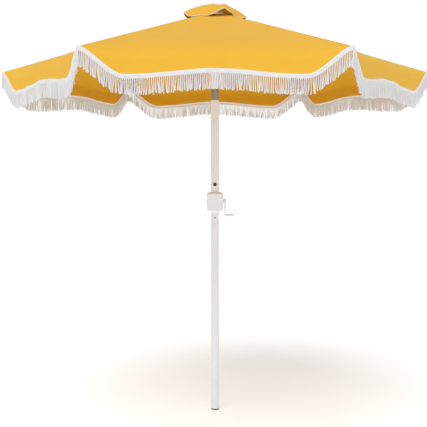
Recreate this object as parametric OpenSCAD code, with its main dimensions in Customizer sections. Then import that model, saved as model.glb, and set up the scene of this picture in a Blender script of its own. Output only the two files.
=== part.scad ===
// Crank-lift patio umbrella with six panels, a tilting top and a fringed edge.
// Units are millimetres, +Z is up, the pole stands on Z = 0 and rib 1 points along +X.

/* [Overall] */
// Distance from the pole axis to each rib tip
rib_reach = 1143; // [950:1:1380]
// Height of the canopy corners above the foot
corner_h = 1840; // [1530:1:2210]
// Slope of the open ribs below horizontal, in degrees
rib_slope = 15.8; // [13:0.1:19]
// Slope of the folded ribs below horizontal, in degrees
fold_slope = 85; // [83:0.5:86]

/* [Pole] */
// Outer diameter of the pole
pole_d = 44.5; // [36:0.1:54]
// Wall thickness of the pole
pole_wall = 1.5; // [1.2:0.1:2]
// Height of the seam between the lower and the main pole
seam_h = 1030; // [900:1:1040]
// Height of the snap button
snap_h = 1060; // [1050:1:1068]
// Diameter of the snap button
snap_d = 9; // [7:0.1:10]
// Height of the tilt button
button_h = 1240; // [1222:1:1245]
// Diameter of the tilt button
button_d = 19; // [14:0.1:20]
// Depth of the tilt hinge below the canopy corners
tilt_drop = 118; // [98:1:145]
// Diameter of the tilt hinge pin
tilt_pin_d = 8; // [6:0.1:10]

/* [Crank] */
// Height of the crank shaft
crank_h = 1148; // [1135:1:1155]
// Depth of the housing's middle below the crank shaft
housing_drop = 5; // [0:1:8]
// Width of the crank housing
housing_w = 92; // [80:1:96]
// Height of the crank housing
housing_h = 108; // [96:1:112]
// Depth of the crank housing
housing_d = 72; // [62:1:80]
// Wall thickness of the crank housing
housing_wall = 2.5; // [2:0.1:3.5]
// Length of the crank arm between the shaft and the grip
arm_len = 76; // [60:1:80]
// Diameter of the crank shaft
shaft_d = 10; // [8:0.1:12]
// Diameter of the crank grip
grip_d = 16; // [14:0.1:20]

/* [Frame] */
// Distance from the pole's surface to the ring of rib and stretcher pivots
pivot_gap = 12.95; // [12:0.05:16]
// Distance from a rib pivot to its stretcher bracket
bracket_s = 420; // [380:1:440]
// Height of a rib
rib_h = 13; // [11:0.5:14]
// Width of a rib
rib_w = 9; // [8:0.1:11]
// Diameter of the pivot pins in the crown hub
crown_pin_d = 4; // [3:0.1:5]
// Diameter of the pivot pins in the runner and the rib brackets
runner_pin_d = 5; // [4:0.1:5.5]

/* [Cloth] */
// Thickness of the canopy cloth
cloth_t = 1; // [0.8:0.1:1.5]
// Radius of the opening under the vent cap
vent_r = 100; // [80:1:115]
// Radius of the vent cap
cap_r = 175; // [150:1:200]
// width of the white disc that holds the vent cap down
finial_d = 90; // [60:1:120]
// Deepest drop of the valance
valance_h = 121; // [100:1:140]
// Length of the fringe
fringe_h = 78; // [60:1:95]

/* [Fits] */
// Radial clearance of the turning and sliding pins
pin_fit = 0.05; // [0.03:0.01:0.09]
// Side clearance of tongues in their slots
side_fit = 0.3; // [0.2:0.05:0.5]
// Radial clearance of the runner on the pole
runner_fit = 0.1; // [0.08:0.01:0.2]

/* [Hidden] */
$fn = 48;
ribs = 6;
step = 360 / ribs;
pole_r = pole_d / 2;
bore_r = pole_r - pole_wall;
pivot_r = pole_r + pivot_gap;
tilt_h = corner_h - tilt_drop;
// gap between soft pieces and whatever lies next to them
soft_gap = 0.35;
// the panels slope away from a rib's top edges, so the cloth is held this far above its centre line
ridge_gap = soft_gap + 0.15 * rib_w;
// height of the ribs' pivots, so that the cloth lies on top of the ribs
hub_h = corner_h + (rib_reach - pivot_r) * tan(rib_slope) - (rib_h / 2 + ridge_gap) / cos(rib_slope) - cloth_t;
// drop of the stretcher pivot below the rib's centre line
bracket_drop = 16;
bracket_a = atan(bracket_drop / bracket_s);
link_len = sqrt(bracket_s * bracket_s + bracket_drop * bracket_drop);
// height of the runner's pivots with the canopy open
runner_h = hub_h - 2 * link_len * sin(rib_slope + bracket_a);
// the rounded rib ends stop short of the cloth's corners
rib_len = (rib_reach - pivot_r) / cos(rib_slope) - 16;
// half widths of the blades that turn in slots
blade_w = 5;
link_w = 5.4;
// sheet thickness of the channel ribs
rib_skin = 1.2;
link_h = 10;
// the hinge's solid ends reach this far either side of its pin
knuckle = 30;
knuckle_r = pole_r - 1.55;
tongue_w = 18;
plug_len = 32;
drum_r = 10;
cord_r = 1.2;
cord_y = drum_r + cord_r + 0.3;
// the mid line of a panel is this much nearer the pole than its corners
chord = cos(step / 2);
apex_h = corner_h + rib_reach * tan(rib_slope);
// middle height of the crank housing, and its corner radii above and below
case_h = crank_h - housing_drop;
top_corner = 18;
foot_corner = 30;
cap_rise = 27;
cap_top = apex_h + cap_rise;
// the inner sleeve reaches this far above the snap button
spigot_up = 36;

white = "#f2f2f0";
steel = "#8f9296";
gold = "#eab233";
dark = "#2c1c20";

// ---- shared shapes ----
// a cylinder lying along X, from x0 to x1, at height h
module bar_x(d, x0, x1, h, y = 0) {
    translate([x0, y, h]) rotate([0, 90, 0]) cylinder(h = x1 - x0, d = d);
}

// a cylinder lying along Y, from y0 to y1, at height h
module bar_y(d, y0, y1, h, x = 0) {
    translate([x, y1, h]) rotate([90, 0, 0]) cylinder(h = y1 - y0, d = d);
}

module tube(z0, z1, r_out, r_in) {
    difference() {
        translate([0, 0, z0]) cylinder(h = z1 - z0, r = r_out);
        translate([0, 0, z0 - 1]) cylinder(h = z1 - z0 + 2, r = r_in);
    }
}

// a flat rectangle with rounded corners, centred
module round_rect(w, h, r) {
    square([w - 2 * r, h], center = true);
    square([w, h - 2 * r], center = true);
    for (x = [-1, 1], y = [-1, 1])
        translate([x * (w / 2 - r), y * (h / 2 - r)]) circle(r = r);
}

// a bar in the plane of a rib: from s0 to s1 along it, w wide and h high
module rib_bar(s0, s1, w, h, drop = 0) {
    translate([s0, -w / 2, -h / 2 - drop]) cube([s1 - s0, w, h]);
}

// places its children at a rib's pivot, pointing along the rib
module at_rib(k) {
    rotate([0, 0, step * (k - 1)]) translate([pivot_r, 0, hub_h])
        rotate([0, rib_slope, 0]) children();
}

// ---- the pole ----
module foot_plug() {
    color("#3a3a3c") {
        cylinder(h = 6, r = pole_r - 0.6);
        translate([0, 0, 6]) cylinder(h = 34, r = bore_r - 0.05);
    }
}

module lower_pole() {
    color(white) tube(6, seam_h, pole_r, bore_r);
}

module pole_spigot() {
    color(steel) difference() {
        tube(seam_h - 70, snap_h + spigot_up, bore_r - 0.05, bore_r - 2.5);
        bar_y(snap_d + 2 * pin_fit, -pole_r, 0, snap_h);
    }
}

module snap_button() {
    color(steel) {
        bar_y(snap_d, -pole_r - 2, -bore_r + 6, snap_h);
        bar_y(snap_d + 3, -bore_r + 4, -bore_r + 6, snap_h);
    }
}

module main_pole() {
    color(white) difference() {
        union() {
            tube(seam_h, tilt_h - knuckle, pole_r, bore_r);
            tube(seam_h, seam_h + 5, pole_r + 0.6, bore_r);
        }
        bar_y(snap_d + 2 * pin_fit, -pole_r - 1, 0, snap_h);
        bar_y(button_d + 2 * pin_fit, -pole_r - 1, 0, button_h);
        bar_x(shaft_d + 2 * pin_fit, -pole_r - 1, pole_r + 1, crank_h);
        bar_x(5, -pole_r - 1, pole_r + 1, button_h);
    }
}

// ---- the crank ----
// the outer form of the housing, less `inset` on every side
module housing_form(inset) {
    w = housing_w - 2 * inset;
    h = housing_h - 2 * inset;
    d = housing_d - 2 * inset;
    translate([0, 0, case_h]) intersection() {
        rotate([90, 0, 0]) linear_extrude(height = d, center = true) intersection() {
            round_rect(w, h, top_corner - inset);
            translate([0, h / 2]) round_rect(w, 2 * h, foot_corner - inset);
        }
        linear_extrude(height = h, center = true) round_rect(w, d, 14 - inset);
        rotate([90, 0, 90]) linear_extrude(height = w, center = true) round_rect(d, h, 12 - inset);
    }
}

module housing_half(front) {
    side = front ? -1 : 1;
    color(white) difference() {
        intersection() {
            housing_form(0);
            translate([-housing_w, front ? -housing_d : 0, case_h - housing_h])
                cube([2 * housing_w, housing_d, 2 * housing_h]);
        }
        difference() {
            housing_form(housing_wall);
            for (x = [-1, 1], z = [-1, 1])
                bar_y(8, -housing_d, housing_d, case_h + z * (housing_h / 2 - 12), x * (housing_w / 2 - 14));
        }
        translate([0, 0, case_h - housing_h]) cylinder(h = 2 * housing_h, r = pole_r);
        bar_x(shaft_d + 2 * pin_fit, -housing_w, housing_w, crank_h);
        for (x = [-1, 1], z = [-1, 1]) {
            bar_y(3.2, side > 0 ? -1 : -16, side > 0 ? housing_d : 1,
                case_h + z * (housing_h / 2 - 12), x * (housing_w / 2 - 14));
            if (side > 0)
                bar_y(6.4, 24, housing_d, case_h + z * (housing_h / 2 - 12), x * (housing_w / 2 - 14));
        }
    }
}

module crank_housing_front() {
    housing_half(true);
}

module crank_housing_back() {
    housing_half(false);
}

module housing_screws() {
    color(steel) for (x = [-1, 1], z = [-1, 1]) {
        bar_y(3.1, -14, 24, case_h + z * (housing_h / 2 - 12), x * (housing_w / 2 - 14));
        bar_y(6, 24, 26.5, case_h + z * (housing_h / 2 - 12), x * (housing_w / 2 - 14));
    }
}

module crank_shaft() {
    color(steel) bar_x(shaft_d, -housing_w / 2 - 1.5, housing_w / 2 + 14, crank_h);
}

module crank_drum() {
    color("#d8d8d6") difference() {
        union() {
            bar_x(2 * drum_r, -9, 9, crank_h);
            for (x = [-10.5, 9]) bar_x(2 * drum_r + 5, x, x + 1.5, crank_h);
        }
        bar_x(shaft_d, -12, 12, crank_h);
    }
}

module crank_arm() {
    x0 = housing_w / 2 + 4;
    color(white) difference() {
        union() {
            bar_x(24, x0 - 3, x0 + 12, crank_h);
            bar_x(15, x0, x0 + 9, crank_h - arm_len);
            translate([x0, -6.5, crank_h - arm_len]) cube([9, 13, arm_len]);
            bar_x(grip_d / 2, x0 + 9, x0 + 56, crank_h - arm_len);
        }
        bar_x(shaft_d, x0 - 4, housing_w / 2 + 14, crank_h);
    }
}

module crank_grip() {
    x0 = housing_w / 2 + 4 + 9 + side_fit;
    color(white) difference() {
        bar_x(grip_d, x0, x0 + 44, crank_h - arm_len);
        bar_x(grip_d / 2 + 2 * pin_fit, x0 - 1, x0 + 45, crank_h - arm_len);
    }
}

// ---- the tilt button ----
module tilt_button() {
    color(dark) difference() {
        bar_y(button_d, -pole_r - 3.5, -10, button_h);
        translate([-button_d, -pole_r - 5, button_h - 0.6]) cube([2 * button_d, 2.3, 1.2]);
    }
}

module button_bezel() {
    color(white) difference() {
        bar_y(button_d + 9, -pole_r - 2, -8, button_h);
        bar_y(button_d + 2 * pin_fit, -pole_r - 3, 0, button_h);
        translate([0, 0, button_h - button_d]) cylinder(h = 2 * button_d, r = pole_r);
    }
}

module button_pin() {
    color(dark) {
        bar_x(5, -pole_r - 0.5, pole_r + 0.5, button_h);
        for (x = [-1, 1]) intersection() {
            bar_x(14, x > 0 ? 0 : -pole_r - 1, x > 0 ? pole_r + 1 : 0, button_h);
            tube(button_h - 7, button_h + 7, pole_r + 1, pole_r);
        }
    }
}

// ---- the tilt hinge ----
module tilt_fork() {
    color(steel) difference() {
        union() {
            translate([0, 0, tilt_h - knuckle - plug_len]) cylinder(h = plug_len, r = bore_r);
            translate([0, 0, tilt_h - knuckle]) cylinder(h = knuckle - knuckle_r - 0.5, r = pole_r);
            intersection() {
                translate([0, 0, tilt_h - knuckle]) cylinder(h = 2 * knuckle, r = pole_r);
                for (y = [-1, 1]) union() {
                    bar_y(2 * knuckle_r, y > 0 ? tongue_w / 2 + side_fit : -pole_r,
                        y > 0 ? pole_r : -tongue_w / 2 - side_fit, tilt_h);
                    translate([-pole_r, y > 0 ? tongue_w / 2 + side_fit : -pole_r, tilt_h - knuckle + 2])
                        cube([2 * pole_r, pole_r - tongue_w / 2 - side_fit, knuckle - 8]);
                }
            }
        }
        bar_y(tilt_pin_d, -pole_r, pole_r, tilt_h);
        translate([0, 0, tilt_h - knuckle - plug_len - 1]) cylinder(h = plug_len, r = bore_r - 3);
    }
}

module tilt_pin() {
    color("#5c5f63") bar_y(tilt_pin_d, -pole_r + 1, pole_r - 1, tilt_h);
}

module tilt_tongue() {
    color(steel) difference() {
        union() {
            translate([0, 0, tilt_h + knuckle]) cylinder(h = plug_len, r = bore_r);
            translate([0, 0, tilt_h + knuckle_r + 0.5]) cylinder(h = knuckle - knuckle_r - 0.5, r = pole_r);
            intersection() {
                translate([0, 0, tilt_h - knuckle]) cylinder(h = 2 * knuckle, r = pole_r);
                union() {
                    bar_y(2 * knuckle_r, -tongue_w / 2, tongue_w / 2, tilt_h);
                    translate([-knuckle_r, -tongue_w / 2, tilt_h]) cube([2 * knuckle_r, tongue_w, knuckle - 2]);
                }
            }
        }
        bar_y(tilt_pin_d + 2 * pin_fit, -pole_r, pole_r, tilt_h);
        translate([0, 0, tilt_h + knuckle + 2]) cylinder(h = plug_len, r = bore_r - 3);
    }
}

module canopy_pole() {
    color(white) difference() {
        tube(tilt_h + knuckle, hub_h + 20, pole_r, bore_r);
        bar_x(4 + 2 * pin_fit, -pole_r - 1, pole_r + 1, hub_h - 22, 3.5);
    }
}

// ---- the crown ----
module crown_hub() {
    color(white) difference() {
        translate([0, 0, hub_h - 10]) union() {
            cylinder(h = 20, r = pivot_r + 10);
            cylinder(h = 24, r = pole_r + 4.5);
        }
        translate([0, 0, hub_h - 11]) cylinder(h = 40, r = pole_r);
        for (k = [1:ribs]) rotate([0, 0, step * (k - 1)]) {
            translate([pivot_r - 7, -blade_w / 2 - side_fit, hub_h - 11]) cube([20, blade_w + 2 * side_fit, 22]);
            bar_y(crown_pin_d, -8, 8, hub_h, pivot_r);
        }
    }
}

module crown_pins() {
    color(steel) for (k = [1:ribs]) rotate([0, 0, step * (k - 1)])
        bar_y(crown_pin_d, -8, 8, hub_h, pivot_r);
}

module pulley() {
    color("#d8d8d6") {
        bar_x(4, -pole_r, pole_r, hub_h - 22, 3.5);
        for (x = [-4, 2]) bar_x(2 * drum_r, x, x + 2, hub_h - 22, 3.5);
        bar_x(14, -4, 4, hub_h - 22, 3.5);
    }
}

module finial() {
    color(white) {
        translate([0, 0, hub_h + 4]) cylinder(h = 16, r = bore_r);
        translate([0, 0, hub_h + 20]) cylinder(h = cap_top - hub_h - 18.5, r = 5);
        translate([0, 0, cap_top + 1.5]) cylinder(h = 3, r = finial_d / 2);
        translate([0, 0, cap_top + 4.5]) cylinder(h = 2.5, r1 = finial_d / 2 - 1, r2 = finial_d / 2 - 9);
        translate([0, 0, cap_top + 7]) cylinder(h = 4, r1 = 8, r2 = 6);
    }
}

// ---- cords ----
module lift_cord_lower() {
    color("#e6e4da") translate([0, cord_y, crank_h])
        cylinder(h = tilt_h - knuckle - plug_len - 5 - crank_h, r = cord_r);
}

module lift_cord_upper() {
    color("#e6e4da") translate([0, cord_y, tilt_h + knuckle + plug_len + 5])
        cylinder(h = hub_h - 36 - tilt_h - knuckle - plug_len - 5, r = cord_r);
}

// ---- the runner ----
module runner_hub() {
    color(white) difference() {
        union() {
            translate([0, 0, runner_h - 8]) cylinder(h = 16, r = pivot_r + 10);
            translate([0, 0, runner_h - 50]) cylinder(h = 62, r = pole_r + 4.5);
            translate([0, 0, runner_h - 50]) cylinder(h = 4, r = pole_r + 7);
        }
        translate([0, 0, runner_h - 51]) cylinder(h = 70, r = pole_r + runner_fit);
        for (k = [1:ribs]) rotate([0, 0, step * (k - 1)]) {
            translate([pivot_r - 6, -link_w / 2 - side_fit, runner_h - 9]) cube([20, link_w + 2 * side_fit, 18]);
            bar_y(runner_pin_d, -8, 8, runner_h, pivot_r);
        }
    }
}

module runner_pins() {
    color(steel) for (k = [1:ribs]) rotate([0, 0, step * (k - 1)])
        bar_y(runner_pin_d, -8, 8, runner_h, pivot_r);
}

// ---- ribs and stretchers ----
module rib(k) {
    cheek = link_w / 2 + side_fit;
    color(white) at_rib(k) difference() {
        union() {
            rib_bar(0, 24, blade_w, 12);
            bar_y(12, -blade_w / 2, blade_w / 2, 0);
            rib_bar(17, rib_len, rib_w, rib_h);
            bar_y(rib_h, -rib_w / 2, rib_w / 2, 0, rib_len);
            for (y = [-cheek - 1.8, cheek]) {
                translate([bracket_s - 11, y, -bracket_drop]) cube([22, 1.8, bracket_drop]);
                bar_y(14, y, y + 1.8, -bracket_drop, bracket_s);
            }
        }
        bar_y(crown_pin_d + 2 * pin_fit, -rib_w, rib_w, 0);
        bar_y(runner_pin_d + 2 * pin_fit, -rib_w, rib_w, -bracket_drop, bracket_s);
        // the rib is a channel, open below, up to its bracket and beyond it
        for (s = [[30, bracket_s - 14], [bracket_s + 14, rib_len]])
            translate([s[0], rib_skin - rib_w / 2, -rib_h / 2 - 1])
                cube([s[1] - s[0], rib_w - 2 * rib_skin, rib_h + 1 - rib_skin]);
    }
}

module stretcher(k) {
    a = rib_slope + bracket_a;
    color(white) rotate([0, 0, step * (k - 1)]) translate([pivot_r, 0, runner_h])
        rotate([0, -a, 0]) difference() {
            union() {
                rib_bar(0, link_len, link_w, link_h);
                bar_y(link_h, -link_w / 2, link_w / 2, 0);
                bar_y(link_h, -link_w / 2, link_w / 2, 0, link_len);
                bar_y(runner_pin_d, -rib_w / 2 - 1, rib_w / 2 + 1, 0, link_len);
            }
            bar_y(runner_pin_d + 2 * pin_fit, -rib_w, rib_w, 0);
        }
}

module rib_1() { rib(1); }
module rib_2() { rib(2); }
module rib_3() { rib(3); }
module rib_4() { rib(4); }
module rib_5() { rib(5); }
module rib_6() { rib(6); }
module stretcher_1() { stretcher(1); }
module stretcher_2() { stretcher(2); }
module stretcher_3() { stretcher(3); }
module stretcher_4() { stretcher(4); }
module stretcher_5() { stretcher(5); }
module stretcher_6() { stretcher(6); }

// a strap folded flat and buttoned against the underside of rib 4
module tie_strap() {
    color(gold) at_rib(4) translate([600, -10, -rib_h / 2 - soft_gap - 3]) cube([160, 20, 3]);
}

// ---- cloth ----
// how far the valance hangs below the canopy edge, for u from -1 to 1 across the panel
function drop(u) = let (e = 1 - abs(u), c = pow(min(1, e / 0.33), 0.85), m = max(0, (e - 0.4) / 0.6))
    valance_h * c * c * (3 - 2 * c) - 0.17 * valance_h * m * m * (3 - 2 * m);

// how far the edge is pulled in towards the pole
function pull(u) = 38 * (1 - u * u);

// a point of the panel: v runs 0 to 1 down the slope, then 1 to 2 down the valance
function cloth_at(u, v) =
    let (x0 = vent_r * chord, x1 = rib_reach * chord - pull(u),
        x = x0 + (x1 - x0) * min(v, 1),
        side = u * (x * tan(step / 2) - soft_gap / cos(step / 2)),
        sag = 10 * (1 - u * u) * sin(180 * min(v, 1)),
        z = apex_h - x * tan(rib_slope) / chord - cloth_t - sag)
    [x, side, z - drop(u) * max(0, v - 1)];

// a closed skin between an outer and an inner grid of points
module skin(outer, inner) {
    n = len(outer);
    m = len(outer[0]);
    pts = concat([for (r = outer) each r], [for (r = inner) each r]);
    top = n * m;
    polyhedron(points = pts, convexity = 6, faces = concat(
        [for (i = [0:n - 2], j = [0:m - 2]) each [
            [i * m + j, i * m + j + 1, (i + 1) * m + j + 1], [i * m + j, (i + 1) * m + j + 1, (i + 1) * m + j]]],
        [for (i = [0:n - 2], j = [0:m - 2]) each [
            [top + i * m + j, top + (i + 1) * m + j + 1, top + i * m + j + 1],
            [top + i * m + j, top + (i + 1) * m + j, top + (i + 1) * m + j + 1]]],
        [for (j = [0:m - 2]) each [
            [j, top + j, top + j + 1], [j, top + j + 1, j + 1]]],
        [for (j = [0:m - 2]) let (a = (n - 1) * m + j) each [
            [a, a + 1, top + a + 1], [a, top + a + 1, top + a]]],
        [for (i = [0:n - 2]) let (a = i * m, b = (i + 1) * m) each [
            [a, b, top + b], [a, top + b, top + a]]],
        [for (i = [0:n - 2]) let (a = i * m + m - 1, b = (i + 1) * m + m - 1) each [
            [a, top + a, top + b], [a, top + b, b]]]));
}

module at_panel(k) {
    rotate([0, 0, step * (k - 0.5)]) children();
}

cloth_us = [for (i = [0:16]) let (t = i / 8 - 1) sign(t) * (1 - pow(1 - abs(t), 1.35))];
cloth_vs = [0, 0.15, 0.32, 0.5, 0.68, 0.85, 0.96, 1, 1.5, 2];

module canopy_panel(k) {
    color(gold) at_panel(k) skin(
        [for (v = cloth_vs) [for (u = cloth_us) cloth_at(u, v) + [v > 1 ? cloth_t : v > 0.9 ? cloth_t / 2 : 0, 0, cloth_t * max(0, 2 - v)]]],
        [for (v = cloth_vs) [for (u = cloth_us) cloth_at(u, v)]]);
}

// a point moved outwards by dx and down by d, kept clear of the plane through the rib
function moved(p, dx, d) = let (room = (p[0] + dx) * tan(step / 2) - soft_gap / cos(step / 2))
    [p[0] + dx, sign(p[1]) * min(abs(p[1]), room), p[2] - d];

// a strip hanging under the valance, from `from` to `to` below its edge and t thick
module hem(k, from, to, t) {
    at_panel(k) skin(
        [for (d = [from, to]) [for (u = cloth_us) moved(cloth_at(u, 2), (cloth_t + t) / 2, d)]],
        [for (d = [from, to]) [for (u = cloth_us) moved(cloth_at(u, 2), (cloth_t - t) / 2, d)]]);
}

module edge_piping(k) {
    color("#f6f1e4") hem(k, soft_gap, soft_gap + 5, 5);
}

module fringe(k) {
    color("#f6f1e4") hem(k, 2 * soft_gap + 5, fringe_h + 6, 3);
}

module canopy_panel_1() { canopy_panel(1); }
module canopy_panel_2() { canopy_panel(2); }
module canopy_panel_3() { canopy_panel(3); }
module canopy_panel_4() { canopy_panel(4); }
module canopy_panel_5() { canopy_panel(5); }
module canopy_panel_6() { canopy_panel(6); }
module edge_piping_1() { edge_piping(1); }
module edge_piping_2() { edge_piping(2); }
module edge_piping_3() { edge_piping(3); }
module edge_piping_4() { edge_piping(4); }
module edge_piping_5() { edge_piping(5); }
module edge_piping_6() { edge_piping(6); }
module fringe_1() { fringe(1); }
module fringe_2() { fringe(2); }
module fringe_3() { fringe(3); }
module fringe_4() { fringe(4); }
module fringe_5() { fringe(5); }
module fringe_6() { fringe(6); }

// a point of the vent cap: w runs 0 at the finial to 1 at the edge, a is the angle round the pole
function cap_at(w, a) =
    let (u = abs((a % step) / step - 0.5) * 2, r0 = 6, r = r0 + (cap_r - r0) * w,
        low = apex_h - cap_r * tan(rib_slope) + 3, lift = 24 * (1 - u * u) * w * w)
    [r * cos(a), r * sin(a), cap_top + (low - cap_top) * (0.35 * w + 0.65 * w * w * (3 - 2 * w) * 0.5 + 0.325 * w) + lift];

cap_as = [for (i = [0:47]) i * 7.5];
cap_ws = [0, 0.2, 0.4, 0.6, 0.8, 1];

module vent_cap() {
    n = len(cap_as);
    m = len(cap_ws);
    low = n * m;
    pts = concat([for (w = cap_ws) for (a = cap_as) cap_at(w, a) + [0, 0, cloth_t]],
        [for (w = cap_ws) for (a = cap_as) cap_at(w, a)]);
    color(gold) polyhedron(points = pts, convexity = 6, faces = concat(
        [for (i = [0:m - 2], j = [0:n - 1]) let (q = (j + 1) % n) each [
            [i * n + j, i * n + q, (i + 1) * n + q], [i * n + j, (i + 1) * n + q, (i + 1) * n + j]]],
        [for (i = [0:m - 2], j = [0:n - 1]) let (q = (j + 1) % n) each [
            [low + i * n + j, low + (i + 1) * n + q, low + i * n + q],
            [low + i * n + j, low + (i + 1) * n + j, low + (i + 1) * n + q]]],
        [for (j = [0:n - 1]) let (q = (j + 1) % n) each [
            [j, low + j, low + q], [j, low + q, q]]],
        [for (j = [0:n - 1]) let (q = (j + 1) % n, a = (m - 1) * n) each [
            [a + j, a + q, low + a + q], [a + j, low + a + q, low + a + j]]]));
}

foot_plug();
lower_pole();
pole_spigot();
snap_button();
main_pole();
crank_housing_front();
crank_housing_back();
housing_screws();
crank_shaft();
crank_drum();
crank_arm();
crank_grip();
tilt_button();
button_bezel();
button_pin();
tilt_fork();
tilt_pin();
tilt_tongue();
canopy_pole();
crown_hub();
crown_pins();
pulley();
finial();
vent_cap();
lift_cord_lower();
lift_cord_upper();
runner_hub();
runner_pins();
tie_strap();
rib_1();
rib_2();
rib_3();
rib_4();
rib_5();
rib_6();
stretcher_1();
stretcher_2();
stretcher_3();
stretcher_4();
stretcher_5();
stretcher_6();
canopy_panel_1();
canopy_panel_2();
canopy_panel_3();
canopy_panel_4();
canopy_panel_5();
canopy_panel_6();
edge_piping_1();
edge_piping_2();
edge_piping_3();
edge_piping_4();
edge_piping_5();
edge_piping_6();
fringe_1();
fringe_2();
fringe_3();
fringe_4();
fringe_5();
fringe_6();
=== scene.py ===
import math

import bmesh
import bpy
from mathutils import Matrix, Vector
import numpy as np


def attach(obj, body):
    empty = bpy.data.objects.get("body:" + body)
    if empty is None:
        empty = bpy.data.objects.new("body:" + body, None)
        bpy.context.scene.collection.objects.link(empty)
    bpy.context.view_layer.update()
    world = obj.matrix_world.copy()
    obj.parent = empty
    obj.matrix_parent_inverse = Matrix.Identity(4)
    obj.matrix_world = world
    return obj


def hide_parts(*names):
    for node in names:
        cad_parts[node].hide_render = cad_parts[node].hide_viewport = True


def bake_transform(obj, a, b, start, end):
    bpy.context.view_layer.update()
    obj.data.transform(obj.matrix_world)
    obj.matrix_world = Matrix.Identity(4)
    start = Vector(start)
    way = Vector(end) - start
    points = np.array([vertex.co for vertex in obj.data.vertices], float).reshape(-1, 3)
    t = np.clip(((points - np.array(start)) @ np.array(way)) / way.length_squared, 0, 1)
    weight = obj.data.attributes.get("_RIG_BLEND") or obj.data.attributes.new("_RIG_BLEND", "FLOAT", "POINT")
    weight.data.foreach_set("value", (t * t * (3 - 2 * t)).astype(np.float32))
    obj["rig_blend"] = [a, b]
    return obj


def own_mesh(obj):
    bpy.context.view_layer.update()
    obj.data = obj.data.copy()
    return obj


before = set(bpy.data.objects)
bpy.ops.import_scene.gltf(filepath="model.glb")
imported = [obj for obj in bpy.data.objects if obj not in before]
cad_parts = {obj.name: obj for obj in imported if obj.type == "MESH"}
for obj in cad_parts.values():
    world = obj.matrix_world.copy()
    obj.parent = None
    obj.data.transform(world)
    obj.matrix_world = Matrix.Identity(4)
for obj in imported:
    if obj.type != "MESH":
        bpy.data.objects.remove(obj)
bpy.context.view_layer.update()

scene = bpy.context.scene

# ---------------------------------------------------------------------------
# Studio
# The umbrella stands on a plain pale floor under soft overhead light, seen
# from a little above half its height.
camera_data = bpy.data.cameras.new("camera")
camera_data.lens = 67.3
camera_data.sensor_width = 36.0
camera_data.clip_end = 100.0
camera = bpy.data.objects.new("camera", camera_data)
camera.location = (-0.008, -4.33, 1.372)
camera.rotation_euler = (math.radians(90.0 - 3.84), 0.0, 0.0)
scene.collection.objects.link(camera)
scene.camera = camera

scene.view_settings.view_transform = "Standard"
world = bpy.data.worlds.new("studio")
world.use_nodes = True
sky = world.node_tree.nodes["Background"]
sky.inputs["Color"].default_value = (1.0, 1.0, 1.0, 1.0)
sky_strength, backdrop_strength = 0.55, 1.0
# the backdrop itself shows plain white, and lights the studio a little less
seen = world.node_tree.nodes.new("ShaderNodeLightPath")
strength = world.node_tree.nodes.new("ShaderNodeMapRange")
strength.inputs["To Min"].default_value = sky_strength
strength.inputs["To Max"].default_value = backdrop_strength
world.node_tree.links.new(seen.outputs["Is Camera Ray"], strength.inputs["Value"])
world.node_tree.links.new(strength.outputs["Result"], sky.inputs["Strength"])
scene.world = world

floor_mesh = bpy.data.meshes.new("floor")
floor_half = 60.0
floor_mesh.from_pydata(
    [(x * floor_half, y * floor_half, -0.001) for x, y in ((-1, -1), (1, -1), (1, 1), (-1, 1))],
    [], [(0, 1, 2, 3)],
)
floor = bpy.data.objects.new("floor", floor_mesh)
scene.collection.objects.link(floor)
floor_paint = bpy.data.materials.new("floor_paint")
floor_paint.use_nodes = True
floor_surface = floor_paint.node_tree.nodes["Principled BSDF"]
floor_surface.inputs["Base Color"].default_value = (0.98, 0.98, 0.98, 1)
floor_surface.inputs["Roughness"].default_value = 0.9
floor_surface.inputs["Emission Color"].default_value = (1.0, 1.0, 1.0, 1)
floor_surface.inputs["Emission Strength"].default_value = 0.25
floor_mesh.materials.append(floor_paint)

# a broad soft key from high on the left, and a weak low fill from the front
for light_name, watts, spread, tilt, turn in (
    ("soft_key", 1.4, 45, 28, -22), ("front_fill", 0.22, 60, 78, 8),
):
    light_data = bpy.data.lights.new(light_name, "SUN")
    light_data.energy = watts
    light_data.angle = math.radians(spread)
    light = bpy.data.objects.new(light_name, light_data)
    light.rotation_euler = (math.radians(tilt), 0.0, math.radians(turn))
    scene.collection.objects.link(light)


# ---------------------------------------------------------------------------
# Pole
# Two lengths of round steel tube, powder coated white: a fine orange peel in the coat, and a slow random drift of
# tone.
def shader(name, colour, roughness):
    """A new material, its node tree and its surface shader."""
    material = bpy.data.materials.new(name)
    material.use_nodes = True
    tree = material.node_tree
    surface = tree.nodes["Principled BSDF"]
    surface.inputs["Base Color"].default_value = (*colour, 1)
    surface.inputs["Roughness"].default_value = roughness
    return material, tree, surface


def put(tree, kind, links=(), **values):
    """Adds one node, sets its named inputs or settings, and wires what is given."""
    node = tree.nodes.new(kind)
    for key, value in values.items():
        if hasattr(node, key):
            setattr(node, key, value)
        else:
            node.inputs[key.replace("_", " ")].default_value = value
    for socket, source in links:
        tree.links.new(source, node.inputs[socket])
    return node


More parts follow.
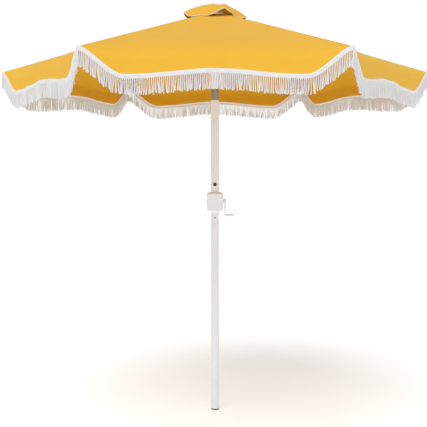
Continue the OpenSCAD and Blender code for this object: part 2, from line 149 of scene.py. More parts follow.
def coated(name, colour, roughness, peel, shade=0.05, coat=0.0):
    """Paint or moulded plastic: a fine surface grain and a slow drift of tone."""
    material, tree, surface = shader(name, colour, roughness)
    place = put(tree, "ShaderNodeTexCoord")
    grain = put(tree, "ShaderNodeTexNoise", [("Vector", place.outputs["Object"])], Scale=peel, Detail=3.0)
    drift = put(tree, "ShaderNodeTexNoise", [("Vector", place.outputs["Object"])], Scale=9.0, Detail=4.0)
    tone = put(tree, "ShaderNodeMapRange", [("Value", drift.outputs["Fac"])])
    tone.inputs["From Min"].default_value = 0.3
    tone.inputs["From Max"].default_value = 0.7
    tone.inputs["To Min"].default_value = 1.0 - shade
    tone.inputs["To Max"].default_value = 1.0
    hue = put(tree, "ShaderNodeMix", data_type="RGBA", blend_type="MULTIPLY")
    hue.inputs["Factor"].default_value = 1.0
    hue.inputs["A"].default_value = (*colour, 1)
    tree.links.new(tone.outputs["Result"], hue.inputs["B"])
    tree.links.new(hue.outputs["Result"], surface.inputs["Base Color"])
    rough = put(tree, "ShaderNodeMapRange", [("Value", drift.outputs["Fac"])])
    rough.inputs["To Min"].default_value = roughness - 0.06
    rough.inputs["To Max"].default_value = roughness + 0.1
    tree.links.new(rough.outputs["Result"], surface.inputs["Roughness"])
    bump = put(tree, "ShaderNodeBump", [("Height", grain.outputs["Fac"])], Strength=0.12, Distance=0.0004)
    tree.links.new(bump.outputs["Normal"], surface.inputs["Normal"])
    surface.inputs["Coat Weight"].default_value = coat
    return material


def finish_node(node, material):
    """Gives a CAD node its real finish."""
    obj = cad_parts[node]
    obj.data.materials.clear()
    obj.data.materials.append(material)
    return obj


pole_paint = coated("pole_powder_coat", (0.82, 0.845, 0.875), 0.34, 900, coat=0.2)
for tube in ("lower_pole", "main_pole", "canopy_pole"):
    finish_node(tube, pole_paint)
foot_rubber = coated("foot_plug_plastic", (0.03, 0.03, 0.032), 0.6, 500, shade=0.2)
finish_node("foot_plug", foot_rubber)


# ---------------------------------------------------------------------------
# Zinc hardware
# The tilt knuckle, pins, shaft and snap button are zinc-plated steel: greyish
# metal with crystal mottling and fine turning marks.
def zinc_plate(name, colour, roughness):
    material, tree, surface = shader(name, colour, roughness)
    surface.inputs["Metallic"].default_value = 1.0
    place = put(tree, "ShaderNodeTexCoord")
    mottle = put(tree, "ShaderNodeTexVoronoi", [("Vector", place.outputs["Object"])], Scale=260.0)
    fine = put(tree, "ShaderNodeTexNoise", [("Vector", place.outputs["Object"])], Scale=60.0, Detail=6.0)
    tone = put(tree, "ShaderNodeMix", [("Factor", mottle.outputs["Distance"])], data_type="RGBA")
    tone.inputs["A"].default_value = (*[c * 0.8 for c in colour], 1)
    tone.inputs["B"].default_value = (*[min(1, c * 1.15) for c in colour], 1)
    tree.links.new(tone.outputs["Result"], surface.inputs["Base Color"])
    rough = put(tree, "ShaderNodeMapRange", [("Value", fine.outputs["Fac"])])
    rough.inputs["To Min"].default_value = roughness - 0.1
    rough.inputs["To Max"].default_value = roughness + 0.15
    tree.links.new(rough.outputs["Result"], surface.inputs["Roughness"])
    bump = put(tree, "ShaderNodeBump", [("Height", fine.outputs["Fac"])], Strength=0.15, Distance=0.0005)
    tree.links.new(bump.outputs["Normal"], surface.inputs["Normal"])
    return material


zinc = zinc_plate("zinc_plate", (0.36, 0.365, 0.385), 0.42)
for part in (
    "pole_spigot", "snap_button", "housing_screws", "crank_shaft", "tilt_fork",
    "tilt_pin", "tilt_tongue", "crown_pins", "runner_pins",
):
    finish_node(part, zinc)

# ---------------------------------------------------------------------------
# Moulded white parts
# Crank case, drum, arm and grip, bezel, crown, runner, pulley and finial are
# injection-moulded nylon: matt, with a fine sparked grain.
nylon = coated("white_nylon", (0.86, 0.885, 0.915), 0.45, 1400, shade=0.04)
for part in (
    "crank_housing_front", "crank_housing_back", "crank_drum", "crank_arm", "crank_grip",
    "button_bezel", "crown_hub", "pulley", "finial", "runner_hub",
):
    finish_node(part, nylon)
button_plastic = coated("button_plastic", (0.035, 0.014, 0.018), 0.35, 1200, shade=0.3)
for part in ("tilt_button", "button_pin"):
    finish_node(part, button_plastic)


# ---------------------------------------------------------------------------
# Ribs and stretchers
# Channel ribs of folded steel strip with a riveted bracket, and flat struts,
# all in the same white powder coat as the pole.
rib_paint = coated("rib_powder_coat", (0.8, 0.8, 0.79), 0.38, 700, shade=0.07)
for number in range(1, 7):
    finish_node(f"rib_{number}", rib_paint)
    finish_node(f"stretcher_{number}", rib_paint)


# ---------------------------------------------------------------------------
# Lift cord
# Braided white polyester cord, 2.4 mm thick, kept taut inside the pole.
cord_braid = coated("lift_cord_braid", (0.8, 0.79, 0.75), 0.85, 1600, shade=0.2)
for cord in ("lift_cord_lower", "lift_cord_upper"):
    finish_node(cord, cord_braid)


# ---------------------------------------------------------------------------
# Canopy panels
# Six gores of golden woven polyester, cut wide at the hem and seamed along the
# ribs. Each rolls softly over its edge and hangs on below it as a valance.
mm = 0.001
rib_reach, corner_h, rib_slope = 1143 * mm, 1840 * mm, math.radians(15.8)
vent_r, valance_h, cloth_t = 100 * mm, 121 * mm, 1.0 * mm
chord = math.cos(math.radians(30))
panel_slope = math.tan(rib_slope) / chord
apex_h = corner_h + rib_reach * math.tan(rib_slope)
half_panel = math.radians(30)
edge_pull, uv_spread = 38 * mm, 0.577
seam_gap = 0.1 * mm
rows_top, rows_roll, seam_row = 34, 14, 9
rows_slope = rows_top + rows_roll
share_name = "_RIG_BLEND"


def ease(t):
    t = min(1.0, max(0.0, t))
    return t * t * (3 - 2 * t)


def valance_drop(u):
    """How far the hem hangs below the canopy edge, u from -1 to 1 across a panel."""
    e = 1 - abs(u)
    return valance_h * ease(min(1.0, e / 0.33) ** 0.85) - 0.17 * valance_h * ease((e - 0.4) / 0.6)


def panel_profile(u):
    """The line down a panel at u: slope, then the soft roll over the edge. (x, z) pairs."""
    x0 = vent_r * chord
    x1 = rib_reach * chord - edge_pull * (1 - u * u)
    drop = valance_drop(u)
    fullness = drop / valance_h
    start = x1 - 0.16 * fullness - 0.001
    below = min(0.062 * fullness, drop * 0.8) + 0.0002
    line = []
    for i in range(rows_top):
        x = x0 + (start - x0) * i / rows_top
        line.append((x, apex_h - x * panel_slope))
    a = Vector((start, apex_h - start * panel_slope))
    b = Vector((x1, apex_h - x1 * panel_slope))
    c = Vector((x1, b.y - below))
    for i in range(rows_roll + 1):
        t = i / rows_roll
        p = a * (1 - t) ** 2 + b * 2 * t * (1 - t) + c * t * t
        line.append((p.x, p.y))
    return line


def panel_point(u, x, z, v):
    """Puts a profile point into the panel's own frame, with its sag and fine creases."""
    side = u * (x * math.tan(half_panel) - seam_gap)
    taut = 1 - u * u
    sag = 10 * mm * taut * math.sin(math.pi * min(1.0, v))
    pull = 1.3 * mm * math.sin(11 * u + 3 * v) * taut * v * v
    return Vector((x, side, z - sag - pull))


def turned(point, panel):
    """From a panel's own frame, with X out through its middle, to the umbrella's."""
    angle = math.radians(60 * panel - 30)
    c, s = math.cos(angle), math.sin(angle)
    return Vector((point.x * c - point.y * s, point.x * s + point.y * c, point.z))


def half_columns(count, side):
    """Values of u from a rib to the panel's middle, closer together near the rib."""
    us = [1 - (i / count) ** 1.25 for i in range(count + 1)]
    return [-u for u in us] if side == "a" else us[::-1]


def grid_mesh(name, rows, uv_rows):
    """A sheet from rows of points, with a UV map in metres along the cloth."""
    bm = bmesh.new()
    uv = bm.loops.layers.uv.new("cloth")
    verts = [[bm.verts.new(p) for p in row] for row in rows]
    for i in range(len(rows) - 1):
        for j in range(len(rows[0]) - 1):
            corners = ((i, j), (i + 1, j), (i + 1, j + 1), (i, j + 1))
            face = bm.faces.new([verts[a][b] for a, b in corners])
            face.smooth = True
            for loop, (a, b) in zip(face.loops, corners):
                loop[uv].uv = uv_rows[a][b]
    mesh = bpy.data.meshes.new(name)
    bm.to_mesh(mesh)
    bm.free()
    return mesh


def settled(obj):
    """Turns an object's modifiers into plain mesh."""
    graph = bpy.context.evaluated_depsgraph_get()
    mesh = bpy.data.meshes.new_from_object(obj.evaluated_get(graph))
    mesh.name = obj.name
    obj.modifiers.clear()
    obj.data = mesh
    return obj


def thick(mesh, name, thickness, cloths, offset=-1.0):
    """Turns a sheet mesh into cloth of real thickness, with closed edges."""
    obj = bpy.data.objects.new(name, mesh)
    scene.collection.objects.link(obj)
    wall = obj.modifiers.new("wall", "SOLIDIFY")
    wall.thickness = thickness
    wall.offset = offset
    wall.use_even_offset = False
    wall.material_offset = 1 if len(cloths) > 1 else 0
    for cloth in cloths:
        mesh.materials.append(cloth)
    settled(obj)
    obj.data.set_sharp_from_angle(angle=math.radians(50))
    return obj


def woven(name, colour, deep, thread, sheen, roughness):
    """Plain weave: warp and weft threads on the cloth's own UV map, with uneven dye."""
    material, tree, surface = shader(name, colour, roughness)
    surface.inputs["Sheen Weight"].default_value = sheen
    surface.inputs["Sheen Roughness"].default_value = 0.4
    surface.inputs["Specular IOR Level"].default_value = 0.25
    place = put(tree, "ShaderNodeTexCoord")
    threads = []
    for direction in ("X", "Y"):
        threads.append(put(
            tree, "ShaderNodeTexWave", [("Vector", place.outputs["UV"])],
            Scale=thread, Distortion=0.6, Detail=1.0, bands_direction=direction,
        ))
    weave = put(tree, "ShaderNodeMath", operation="MULTIPLY")
    tree.links.new(threads[0].outputs["Fac"], weave.inputs[0])
    tree.links.new(threads[1].outputs["Fac"], weave.inputs[1])
    dye = put(tree, "ShaderNodeTexNoise", [("Vector", place.outputs["Object"])], Scale=5.0, Detail=5.0)
    slub = put(tree, "ShaderNodeTexNoise", [("Vector", place.outputs["UV"])], Scale=220.0, Detail=3.0)
    tone = put(tree, "ShaderNodeMix", [("Factor", dye.outputs["Fac"])], data_type="RGBA")
    tone.inputs["A"].default_value = (*deep, 1)
    tone.inputs["B"].default_value = (*colour, 1)
    fleck = put(tree, "ShaderNodeMapRange", [("Value", slub.outputs["Fac"])])
    fleck.inputs["To Min"].default_value = 0.93
    fleck.inputs["To Max"].default_value = 1.05
    mixed = put(tree, "ShaderNodeMix", [("A", tone.outputs["Result"])], data_type="RGBA", blend_type="MULTIPLY")
    mixed.inputs["Factor"].default_value = 1.0
    tree.links.new(fleck.outputs["Result"], mixed.inputs["B"])
    tree.links.new(mixed.outputs["Result"], surface.inputs["Base Color"])
    height = put(tree, "ShaderNodeMath", operation="ADD")
    tree.links.new(weave.outputs["Value"], height.inputs[0])
    tree.links.new(slub.outputs["Fac"], height.inputs[1])
    bump = put(tree, "ShaderNodeBump", [("Height", height.outputs["Value"])], Strength=0.25, Distance=0.0003)
    tree.links.new(bump.outputs["Normal"], surface.inputs["Normal"])
    return material


canopy_cloth = woven("golden_polyester", (0.86, 0.49, 0.042), (0.81, 0.45, 0.036), 420, 0.05, 0.8)
# the inner face, the back of the weave, is a darker copy of the cloth: painted shade for the underside, and it has no
# sheen
canopy_underside_painted_shade = woven("golden_polyester_back", (0.66, 0.345, 0.014), (0.61, 0.31, 0.011), 420, 0.0, 0.9)

both_faces = (canopy_cloth, canopy_underside_painted_shade)
gores = {}
for panel in range(1, 7):
    next_rib = panel % 6 + 1
    for side, rib in (("a", panel), ("b", next_rib)):
        us = half_columns(30, side)
        rows, uvs = [], []
        for row in range(rows_top + seam_row + 1):
            rows.append([])
            uvs.append([])
            for u in us:
                x, z = panel_profile(u)[row]
                rows[-1].append(turned(panel_point(u, x, z, row / rows_slope), panel))
                uvs[-1].append((u * x * uv_spread, x + (apex_h - z)))
        name = f"canopy_gore_{panel}{side}"
        gore = thick(grid_mesh(name, rows, uvs), name, cloth_t, both_faces)
        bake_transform(gore, f"rib_{rib}", f"gather_{side}_{panel}", start=rows[0][0], end=rows[-1][len(us) // 2])
        # each point takes its share of the rib and of the panel's middle from where it lies between them
        spread = []
        for vert in gore.data.vertices:
            angle = math.degrees(math.atan2(vert.co.y, vert.co.x)) - (60 * panel - 30)
            angle = (angle + 180) % 360 - 180
            spread.append(1 - min(1.0, abs(math.tan(math.radians(angle))) / math.tan(half_panel)))
        gore.data.attributes[share_name].data.foreach_set("value", spread)
        if side == "a":
            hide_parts(f"canopy_panel_{panel}")
        gores[panel, side] = gore


# ---------------------------------------------------------------------------
# Valance and piping
# Below the roll the same cloth hangs free to a scalloped hem, which is bound in
# a plump cream piping. It hangs on downwards while the ribs fold.
hem_steps, hem_fine = 800, 2000
rows_hang, valance_columns = 7, 48
pipe_high, pipe_deep = 4.4 * mm, 2.8 * mm


def hem_point(u, panel):
    """A point of the hem in the panel's own frame."""
    x1 = rib_reach * chord - edge_pull * (1 - u * u)
    wave = 2.5 * mm * math.sin(19 * u + 0.7 * panel) * (1 - abs(u)) * 2
    side = u * (x1 * math.tan(half_panel) - seam_gap)
    return Vector((x1 + wave, side, apex_h - x1 * panel_slope - valance_drop(u)))


def hem_line(panel):
    """The hem from rib to rib in equal steps: point, outward, down across the hem, length so far."""
    fine = [hem_point(-1 + 2 * i / hem_fine, panel) for i in range(hem_fine + 1)]
    run = [0.0]
    for p, q in zip(fine, fine[1:]):
        run.append(run[-1] + (q - p).length)
    points, k = [], 0
    for i in range(hem_steps + 1):
        want = run[-1] * i / hem_steps
        while k < len(fine) - 2 and run[k + 1] < want:
            k += 1
        t = (want - run[k]) / (run[k + 1] - run[k])
        points.append((fine[k].lerp(fine[k + 1], t), want))
    out = Vector((1, 0, 0))
    line = []
    for i, (p, length) in enumerate(points):
        before, after = points[max(0, i - 1)][0], points[min(hem_steps, i + 1)][0]
        ahead = (after - before).normalized()
        line.append((p, out, ahead.cross(out).normalized(), length))
    return line


def half_of(line, half):
    """The part of a hem line on one side of the panel's middle."""
    middle = hem_steps // 2
    return line[:middle + 1] if half == "a" else line[middle:]


def hung(obj, panel):
    """Rides the panel's skirt, and gathers as the ribs close, lowest towards the rib."""
    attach(obj, f"skirt_{panel}")
    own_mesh(obj)
    return obj


def tube_mesh(name, stations, high, deep, sides=10):
    """A bound edge of oval section along the hem, closed at both ends."""
    bm = bmesh.new()
    uv = bm.loops.layers.uv.new("cloth")
    rings = []
    for point, out, down, length in stations:
        turns = [math.tau * k / sides for k in range(sides)]
        rings.append([
            bm.verts.new(point + out * deep * math.cos(turn) + down * high * math.sin(turn)) for turn in turns
        ])
    girth = math.tau * (high + deep) / 2
    for i in range(len(rings) - 1):
        for k in range(sides):
            n = (k + 1) % sides
            face = bm.faces.new((rings[i][k], rings[i][n], rings[i + 1][n], rings[i + 1][k]))
            face.smooth = True
            a, b = stations[i][3], stations[i + 1][3]
            for loop, at in zip(face.loops, ((a, k), (a, k + 1), (b, k + 1), (b, k))):
                loop[uv].uv = (at[0], girth * at[1] / sides)
    bm.faces.new(rings[0][::-1])
    bm.faces.new(rings[-1])
    bmesh.ops.recalc_face_normals(bm, faces=bm.faces)
    mesh = bpy.data.meshes.new(name)
    bm.to_mesh(mesh)
    bm.free()
    return mesh


def yarn(name, colour, deep, pitch, sheen):
    """Cream cotton yarn: a twill of fine twisted threads, softly soiled in uneven patches."""
    material, tree, surface = shader(name, colour, 0.85)
    surface.inputs["Sheen Weight"].default_value = sheen
    surface.inputs["Sheen Roughness"].default_value = 0.5
    surface.inputs["Specular IOR Level"].default_value = 0.2
    place = put(tree, "ShaderNodeTexCoord")
    twist = put(
        tree, "ShaderNodeTexWave", [("Vector", place.outputs["Object"])],
        Scale=pitch, Distortion=1.5, Detail=2.0, bands_direction="DIAGONAL",
    )
    soil = put(tree, "ShaderNodeTexNoise", [("Vector", place.outputs["Object"])], Scale=38.0, Detail=4.0)
    tone = put(tree, "ShaderNodeMix", [("Factor", soil.outputs["Fac"])], data_type="RGBA")
    tone.inputs["A"].default_value = (*deep, 1)
    tone.inputs["B"].default_value = (*colour, 1)
    tree.links.new(tone.outputs["Result"], surface.inputs["Base Color"])
    bump = put(tree, "ShaderNodeBump", [("Height", twist.outputs["Fac"])], Strength=0.45, Distance=0.0006)
    tree.links.new(bump.outputs["Normal"], surface.inputs["Normal"])
    return material


piping_cloth = yarn("cream_piping", (0.86, 0.865, 0.87), (0.8, 0.8, 0.8), 300, 0.15)

hem_lines, valances, pipings = {}, {}, {}
for panel in range(1, 7):
    hem_lines[panel] = hem_line(panel)
    for half, first_u in (("a", -1), ("b", 0)):
        us = [first_u + i / valance_columns for i in range(valance_columns + 1)]
        rows, uvs = [], []
        for row in range(rows_roll - seam_row + rows_hang + 1):
            rows.append([])
            uvs.append([])
            for u in us:
                profile_row = min(rows_top + seam_row + row, rows_slope)
                x, z = panel_profile(u)[profile_row]
                point = panel_point(u, x, z, profile_row / rows_slope)
                t = max(0, row - (rows_roll - seam_row)) / rows_hang
                if t:
                    top, low = point, hem_point(u, panel)
                    point = top.lerp(low, t)
                    point.x = top.x + (low.x - top.x) * t * t
                rows[-1].append(turned(point, panel))
                uvs[-1].append((u * x * uv_spread, x + (apex_h - point.z)))
        name = f"valance_{panel}{half}"
        valance = thick(grid_mesh(name, rows, uvs), name, cloth_t, both_faces)
        hung(valance, panel)
        valances[panel, half] = valance

        stations = [
            (turned(p, panel), turned(out, panel), turned(down, panel), length)
            for p, out, down, length in half_of(hem_lines[panel], half)[::2]
        ]
        tube = tube_mesh("piping", stations, pipe_high, pipe_deep)
        piping = bpy.data.objects.new(f"hem_piping_{panel}{half}", tube)
        scene.collection.objects.link(piping)
        piping.data.materials.append(piping_cloth)
        hung(piping, panel)
        if half == "a":
            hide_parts(f"edge_piping_{panel}")
        pipings[panel, half] = piping


# ---------------------------------------------------------------------------
# Fringe
# A cut bullion fringe of cream cotton: a looped braid heading sewn under the
# piping, and two rows of twisted yarns hanging from it, uneven and clumped.
braid_top, braid_low, braid_thick, braid_loop = 3.0 * mm, 15.0 * mm, 1.4 * mm, 6.4 * mm
strand_pitch, strand_length, strand_radius = 8.6 * mm, 71 * mm, 2.2 * mm
strand_root, strand_stray = 12 * mm, 9 * mm
first_seed = 40


def geometry_tree(name, sockets):
    """A new Geometry Nodes tree with its named inputs."""
    tree = bpy.data.node_groups.new(name, "GeometryNodeTree")
    tree.interface.new_socket("Geometry", in_out="INPUT", socket_type="NodeSocketGeometry")
    for label, kind in sockets:
        tree.interface.new_socket(label, in_out="INPUT", socket_type=kind)
    tree.interface.new_socket("Geometry", in_out="OUTPUT", socket_type="NodeSocketGeometry")
    return tree, tree.nodes.new("NodeGroupInput"), tree.nodes.new("NodeGroupOutput")


def grown(obj, tree, **sizes):
    """Runs a Geometry Nodes tree on an object and keeps the result as plain mesh."""
    work = obj.modifiers.new("grown", "NODES")
    work.node_group = tree
    for item in tree.interface.items_tree:
        if item.in_out == "INPUT" and item.name.replace(" ", "_").lower() in sizes:
            work[item.identifier] = sizes[item.name.replace(" ", "_").lower()]
    return settled(obj)


def finish_tree(tree, given, result, out):
    """Every tree ends as real mesh in its own material."""
    real = put(tree, "GeometryNodeRealizeInstances", [("Geometry", result)])
    dressed = put(tree, "GeometryNodeSetMaterial", [
        ("Geometry", real.outputs["Geometry"]), ("Material", given.outputs["Material"]),
    ])
    tree.links.new(dressed.outputs["Geometry"], out.inputs["Geometry"])


def maths(tree, operation, a, b=None):
    """One sum on floats, each side a socket or a number."""
    node = put(tree, "ShaderNodeMath", operation=operation)
    for socket, value in zip(node.inputs, (a, b)):
        if isinstance(value, (int, float)):
            socket.default_value = value
        elif value is not None:
            tree.links.new(value, socket)
    return node.outputs["Value"]


def fringe_tree():
    tree, given, out = geometry_tree("yarn_fringe", (
        ("Strand Pitch", "NodeSocketFloat"), ("Strand Length", "NodeSocketFloat"),
        ("Strand Radius", "NodeSocketFloat"), ("Stray", "NodeSocketFloat"),
        ("Along", "NodeSocketVector"), ("Outward", "NodeSocketVector"),
        ("Seed", "NodeSocketInt"), ("Material", "NodeSocketMaterial"),
    ))
    line = put(tree, "GeometryNodeMeshToCurve", [("Mesh", given.outputs["Geometry"])])
    roots = put(tree, "GeometryNodeResampleCurve", [
        ("Curve", line.outputs["Curve"]), ("Length", given.outputs["Strand Pitch"]),
    ], mode="LENGTH")
    # every root keeps its own lean, and its own length
    lean = put(tree, "FunctionNodeRandomValue", [("Seed", given.outputs["Seed"])], data_type="FLOAT_VECTOR")
    lean.inputs["Min"].default_value = (-1, -1, -1)
    kept = put(tree, "GeometryNodeCaptureAttribute", [("Geometry", roots.outputs["Curve"])])
    kept.capture_items.new("VECTOR", "Lean")
    tree.links.new(lean.outputs[0], kept.inputs["Lean"])
    stem = put(tree, "GeometryNodeCurvePrimitiveLine")
    stem.inputs["End"].default_value = (0, 0, -1)
    steps = put(tree, "GeometryNodeResampleCurve", [("Curve", stem.outputs["Curve"])], mode="COUNT", Count=8)
    apart = put(tree, "ShaderNodeSeparateXYZ", [("Vector", kept.outputs["Lean"])])
    share = maths(tree, "MULTIPLY_ADD", apart.outputs["Z"], 0.07)
    share.node.inputs[2].default_value = 0.97
    length = maths(tree, "MULTIPLY", share, given.outputs["Strand Length"])
    size = put(tree, "ShaderNodeCombineXYZ", [("Z", length)])
    size.inputs["X"].default_value = size.inputs["Y"].default_value = 1.0
    hanging = put(tree, "GeometryNodeInstanceOnPoints", [
        ("Points", kept.outputs["Geometry"]), ("Instance", steps.outputs["Curve"]), ("Scale", size.outputs["Vector"]),
    ])
    loose = put(tree, "GeometryNodeRealizeInstances", [("Geometry", hanging.outputs["Instances"])])
    # down each strand it strays more: a slow drift shared by its neighbours, and its own lean
    down = put(tree, "GeometryNodeSplineParameter")
    fall = maths(tree, "POWER", down.outputs["Factor"], 1.4)
    where = put(tree, "GeometryNodeInputPosition")
    flat = put(tree, "ShaderNodeVectorMath", [(0, where.outputs["Position"])], operation="MULTIPLY")
    flat.inputs[1].default_value = (1, 1, 0.25)
    drift = put(tree, "ShaderNodeTexNoise", [("Vector", flat.outputs["Vector"])], Scale=42.0, Detail=1.0)
    drift_side = maths(tree, "MULTIPLY", maths(tree, "SUBTRACT", drift.outputs["Fac"], 0.5), 3.4)
    lean_side = maths(tree, "MULTIPLY_ADD", apart.outputs["X"], 0.4)
    tree.links.new(drift_side, lean_side.node.inputs[2])
    side_amount = maths(tree, "MULTIPLY", maths(tree, "MULTIPLY", lean_side, fall), given.outputs["Stray"])
    out_amount = maths(tree, "MULTIPLY", maths(tree, "MULTIPLY", apart.outputs["Y"], fall),
                       maths(tree, "MULTIPLY", given.outputs["Stray"], 0.45))
    shifts = [
        put(tree, "ShaderNodeVectorMath", [(0, given.outputs[way]), ("Scale", amount)], operation="SCALE")
        for way, amount in (("Along", side_amount), ("Outward", out_amount))
    ]
    moved = put(tree, "ShaderNodeVectorMath", [
        (0, shifts[0].outputs["Vector"]), (1, shifts[1].outputs["Vector"]),
    ], operation="ADD")
    strayed = put(tree, "GeometryNodeSetPosition", [
        ("Geometry", loose.outputs["Geometry"]), ("Offset", moved.outputs["Vector"]),
    ])
    girth = maths(tree, "MULTIPLY_ADD", fall, 0.25)
    girth.node.inputs[2].default_value = 0.85
    plump = put(tree, "GeometryNodeSetCurveRadius", [("Curve", strayed.outputs["Geometry"]), ("Radius", girth)])
    section = put(
        tree, "GeometryNodeCurvePrimitiveCircle", [("Radius", given.outputs["Strand Radius"])], Resolution=5,
    )
    yarns = put(tree, "GeometryNodeCurveToMesh", [
        ("Curve", plump.outputs["Curve"]), ("Profile Curve", section.outputs["Curve"]),
    ], Fill_Caps=True)
    if "Scale" in yarns.inputs:
        tree.links.new(girth, yarns.inputs["Scale"])
    finish_tree(tree, given, yarns.outputs["Mesh"], out)
    return tree


fringe_yarn = yarn("cream_bullion_yarn", (0.85, 0.86, 0.87), (0.78, 0.78, 0.78), 420, 0.15)
braid_yarn = yarn("cream_braid", (0.83, 0.84, 0.85), (0.76, 0.76, 0.77), 260, 0.15)
strands = fringe_tree()

for panel in range(1, 7):
    for half in ("a", "b"):
        half_line = half_of(hem_lines[panel], half)
        rows, uvs = [], []
        for row in range(5):
            rows.append([])
            uvs.append([])
            for p, out, down, length in half_line:
                loop = math.cos(math.tau * length / braid_loop)
                t = row / 4
                low = braid_top + (braid_low - braid_top) * t + 1.1 * mm * loop * t * t
                proud = 0.5 * mm * loop * math.sin(math.pi * t) + 0.6 * mm
                rows[-1].append(turned(p + down * low + out * proud, panel))
                uvs[-1].append((length, low))
        braid = thick(grid_mesh("braid", rows, uvs), f"fringe_braid_{panel}{half}", braid_thick, (braid_yarn,))
        hung(braid, panel)

        # two rows of roots, one just behind the other
        roots, links = [], []
        for depth, shift in ((1.2 * mm, 0), (-2.6 * mm, 2)):
            first = len(roots)
            roots += [
                turned(p + down * strand_root + out * depth, panel)
                for p, out, down, length in half_line[1 + shift:len(half_line) - 1]
            ]
            links += [(i, i + 1) for i in range(first, len(roots) - 1)]
        root_mesh = bpy.data.meshes.new("roots")
        root_mesh.from_pydata(roots, links, [])
        fringe = bpy.data.objects.new(f"yarn_fringe_{panel}{half}", root_mesh)
        scene.collection.objects.link(fringe)
        grown(
            fringe, strands, strand_pitch=strand_pitch, strand_length=strand_length,
            strand_radius=strand_radius,
            stray=strand_stray, along=turned(Vector((0, 1, 0)), panel), outward=turned(Vector((1, 0, 0)), panel),
            seed=first_seed + 2 * panel + (half == "b"), material=fringe_yarn,
        )
        hung(fringe, panel)
        if half == "a":
            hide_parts(f"fringe_{panel}")


# ---------------------------------------------------------------------------
# Rib seams
# The gores are joined with a flat felled seam over each rib, pressed down and
# sewn with two rows of golden thread.
seam_half, seam_proud, seam_lift, seam_thick = 5.5 * mm, 0.7 * mm, 0.1 * mm, 0.7 * mm
stitch_pitch, stitch_length, stitch_thick = 5.0 * mm, 3.4 * mm, 0.55 * mm


def stitch_tree():
    tree, given, out = geometry_tree("lock_stitch", (
        ("Stitch Pitch", "NodeSocketFloat"), ("Stitch Length", "NodeSocketFloat"),
        ("Thread", "NodeSocketFloat"), ("Material", "NodeSocketMaterial"),
    ))
    line = put(tree, "GeometryNodeMeshToCurve", [("Mesh", given.outputs["Geometry"])])
    places = put(tree, "GeometryNodeCurveToPoints", [
        ("Curve", line.outputs["Curve"]), ("Length", given.outputs["Stitch Pitch"]),
    ], mode="LENGTH")
    bead = put(tree, "GeometryNodeMeshIcoSphere", Radius=0.5, Subdivisions=1)
    size = put(tree, "ShaderNodeCombineXYZ", [
        ("X", given.outputs["Thread"]), ("Y", given.outputs["Thread"]), ("Z", given.outputs["Stitch Length"]),
    ])
    sewn = put(tree, "GeometryNodeInstanceOnPoints", [
        ("Points", places.outputs["Points"]), ("Instance", bead.outputs["Mesh"]),
        ("Rotation", places.outputs["Rotation"]), ("Scale", size.outputs["Vector"]),
    ])
    finish_tree(tree, given, sewn.outputs["Instances"], out)
    return tree


stitches = stitch_tree()
thread_yarn = yarn("golden_thread", (0.6, 0.28, 0.02), (0.5, 0.22, 0.015), 900, 0.1)


def around(radius, side, up, rib):
    """A point on a rib's line at this radius, moved sideways and up."""
    angle = math.radians(60 * (rib - 1))
    height = apex_h - radius * math.tan(rib_slope) - abs(side) * panel_slope / 2 + up
    c, s = math.cos(angle), math.sin(angle)
    return Vector((radius * c - side * s, radius * s + side * c, height))


for rib in range(1, 7):
    radii = [vent_r + 2 * mm + (rib_reach - vent_r - 5 * mm) * i / 90 for i in range(91)]
    rows, uvs = [], []
    for radius in radii:
        rows.append([
            around(radius, seam_half * k / 2, seam_proud * (1 - (k / 2) ** 4) + seam_lift, rib) for k in range(-2, 3)
        ])
        uvs.append([(seam_half * k / 2, radius) for k in range(-2, 3)])
    seam = thick(grid_mesh("seam", rows, uvs), f"felled_seam_{rib}", seam_thick, (canopy_cloth,))
    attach(seam, f"rib_{rib}")

    sewing, links = [], []
    for side in (-0.62, 0.62):
        first = len(sewing)
        sewing += [around(radius, seam_half * side, seam_proud * 0.95 + seam_lift, rib) for radius in radii]
        links += [(i, i + 1) for i in range(first, len(sewing) - 1)]
    sewing_mesh = bpy.data.meshes.new("sewing")
    sewing_mesh.from_pydata(sewing, links, [])
    sewing_line = bpy.data.objects.new(f"seam_stitches_{rib}", sewing_mesh)
    scene.collection.objects.link(sewing_line)
    grown(
        sewing_line, stitches, stitch_pitch=stitch_pitch, stitch_length=stitch_length, thread=stitch_thick,
        material=thread_yarn,
    )
    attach(sewing_line, f"rib_{rib}")


# ---------------------------------------------------------------------------
# Tie strap
# A strip of golden webbing that wraps the closed canopy. Open, it is folded
# back and forth in four layers and buttoned up against the underside of a rib.
strap_near, strap_far, strap_half, strap_high = 602 * mm, 758 * mm, 10 * mm, 7.4 * mm
strap_step, strap_thick, strap_layers = 1.3 * mm, 0.9 * mm, 4
rib_pivot_r, rib_pivot_z = 35.2 * mm, 2143.95 * mm
fold = []
for layer in range(strap_layers):
    outward = 1 if layer % 2 == 0 else -1
    near, far = (strap_near, strap_far)[::outward]
    below = strap_high + strap_step * layer
    fold += [(near + (far - near) * i / 12, below) for i in range(13)]
    # a small round turn leads into the next layer
    for turn in (45, 90, 135) if layer < strap_layers - 1 else ():
        reach = strap_step / 2 * math.sin(math.radians(turn))
        drop = strap_step / 2 * (1 - math.cos(math.radians(turn)))
        fold.append((far + outward * reach, below + drop))
rows, uvs, run = [], [], 0
for i, (along, below) in enumerate(fold):
    run += math.dist(fold[i - 1], fold[i]) if i else 0
    x = -rib_pivot_r - along * math.cos(rib_slope) + below * math.sin(rib_slope)
    z = rib_pivot_z - along * math.sin(rib_slope) - below * math.cos(rib_slope)
    rows.append([Vector((x, strap_half * (j / 2 - 1), z)) for j in range(5)])
    uvs.append([(strap_half * j / 2, run) for j in range(5)])
webbing = woven("golden_webbing", (0.82, 0.45, 0.036), (0.7, 0.37, 0.026), 300, 0.05, 0.85)
strap = thick(grid_mesh("strap", rows, uvs), "tie_strap_webbing", strap_thick, (webbing,), offset=0.0)
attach(strap, "rib_4")
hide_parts("tie_strap")


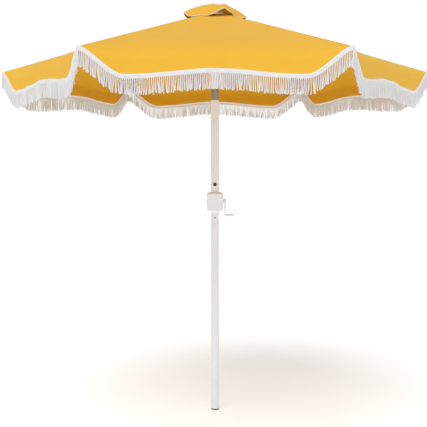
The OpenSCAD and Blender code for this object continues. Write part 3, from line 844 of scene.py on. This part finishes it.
# ---------------------------------------------------------------------------
# Vent cap
# A loose cap of the same golden cloth over the vent, held down by the finial
# and piped in cream. It lies flush in places and lifts in others to let wind out.
cap_edge, cap_hole, cap_puff, cap_pipe = 168 * mm, 6 * mm, 2200 * mm, 2.0 * mm
cap_columns = 32
# how far the edge lifts, in mm, at angles round the pole in degrees
cap_lifts = (
    (-180, 44), (-168, 36), (-152, 17), (-134, 6), (-120, 3), (-105, 3), (-98, 9), (-73, 42), (-60, 17), (-53, 4),
    (-36, 4), (-14, 12), (0, 20), (16, 14), (32, 9), (60, 14), (90, 24), (114, 12), (138, 9), (160, 28), (180, 44),
)


def cap_lift(angle):
    """How far the cap's edge stands off the canopy at this angle round the pole."""
    angle = (angle + 180) % 360 - 180
    for (a, low), (b, high) in zip(cap_lifts, cap_lifts[1:]):
        if angle <= b:
            t = (angle - a) / (b - a)
            return (low + (high - low) * (0.65 * t + 0.35 * ease(t))) * mm
    return cap_lifts[-1][1] * mm


def cap_point(share, angle):
    """The cap from its hole, share 0, to its edge, share 1."""
    to_middle = (angle % 60 - 30) / 30
    edge = cap_edge * (1 - 0.045 * (1 - to_middle ** 2))
    radius = cap_hole + (edge - cap_hole) * share
    # the folds swing round a little as they run in to the finial
    swing = angle - 22 * (1 - share) * math.exp(-((((angle + 60) + 180) % 360 - 180) / 55) ** 2)
    middle_off = (swing % 60) - 30
    canopy = apex_h - edge * math.cos(math.radians(middle_off)) * panel_slope
    low = canopy + cap_lift(swing)
    height = cap_puff - (cap_puff - low) * share ** 2.1
    x, y = radius * math.cos(math.radians(angle)), radius * math.sin(math.radians(angle))
    # the finial presses a dimple, and a crease and a ridge run forward from it
    dimple = 7.5 * mm * math.exp(-((radius / (49 * mm)) ** 8))
    front = ease((40 * mm - y) / (60 * mm)) * (1 - share ** 3)
    valley = 6 * mm * math.exp(-(((x - 24 * mm) / (15 * mm)) ** 2))
    ridge = 5 * mm * math.exp(-(((x - 56 * mm) / (15 * mm)) ** 2))
    crease = front * (valley - ridge)
    ruck = 1.6 * mm * math.sin(math.radians(13 * angle)) * share * (1 - share) * 4
    ground = apex_h - radius * math.cos(math.radians((angle % 60) - 30)) * panel_slope + 3 * mm
    return Vector((x, y, max(height - dimple - crease + ruck, ground)))


cap_shares = [0, 0.06, 0.12, 0.18, 0.25, 0.33, 0.42, 0.52, 0.62, 0.72, 0.82, 0.9, 0.96, 1.0]
cap_droop, cap_droop_side = 0.53, 0.38
droop_begin, droop_side_begin, droop_end = 60 * mm, 35 * mm, 148 * mm


def drooping(obj, rib):
    """The cap stays up at the finial, and its edge follows each rib part of the way down."""
    here = math.radians(60 * (rib - 1))
    inner = Vector((math.cos(here), math.sin(here), 0)) * 50 * mm + Vector((0, 0, cap_puff))
    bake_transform(obj, "top", f"rib_{rib}", start=inner, end=inner * 3)
    spread = []
    for vert in obj.data.vertices:
        off = (math.atan2(vert.co.y, vert.co.x) - here + math.pi) % math.tau - math.pi
        side = min(1.0, abs(off) / math.radians(30))
        begin = droop_begin + droop_side_begin * side ** 2
        reach = ease((math.hypot(vert.co.x, vert.co.y) - begin) / (droop_end - begin))
        spread.append(reach * (cap_droop + (cap_droop_side - cap_droop) * side ** 2))
    obj.data.attributes[share_name].data.foreach_set("value", spread)
    return obj


for rib in range(1, 7):
    angles = [60 * (rib - 1) - 30 + 60 * i / cap_columns for i in range(cap_columns + 1)]
    rows = [[cap_point(share, angle) for angle in angles] for share in cap_shares]
    uvs = [
        [(cap_edge * share * math.radians(angle), cap_edge * share) for angle in angles] for share in cap_shares
    ]
    cap = thick(grid_mesh("cap", rows, uvs), f"vent_cap_gore_{rib}", cloth_t, both_faces, offset=0.0)
    drooping(cap, rib)
    if rib == 1:
        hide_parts("vent_cap")

    rim = [cap_point(1.0, angle) for angle in angles]
    before, after = cap_point(1.0, angles[0] - 2), cap_point(1.0, angles[-1] + 2)
    stations = []
    for i, point in enumerate(rim):
        ahead = ((rim[i + 1] if i < cap_columns else after) - (rim[i - 1] if i else before)).normalized()
        out = Vector((point.x, point.y, 0)).normalized()
        down = ahead.cross(out).normalized()
        stations.append((point, down.cross(ahead).normalized(), down, cap_edge * math.radians(angles[i])))
    tube = tube_mesh("piping", stations, cap_pipe, cap_pipe, 8)
    cap_piping = bpy.data.objects.new(f"cap_piping_{rib}", tube)
    scene.collection.objects.link(cap_piping)
    cap_piping.data.materials.append(piping_cloth)
    drooping(cap_piping, rib)
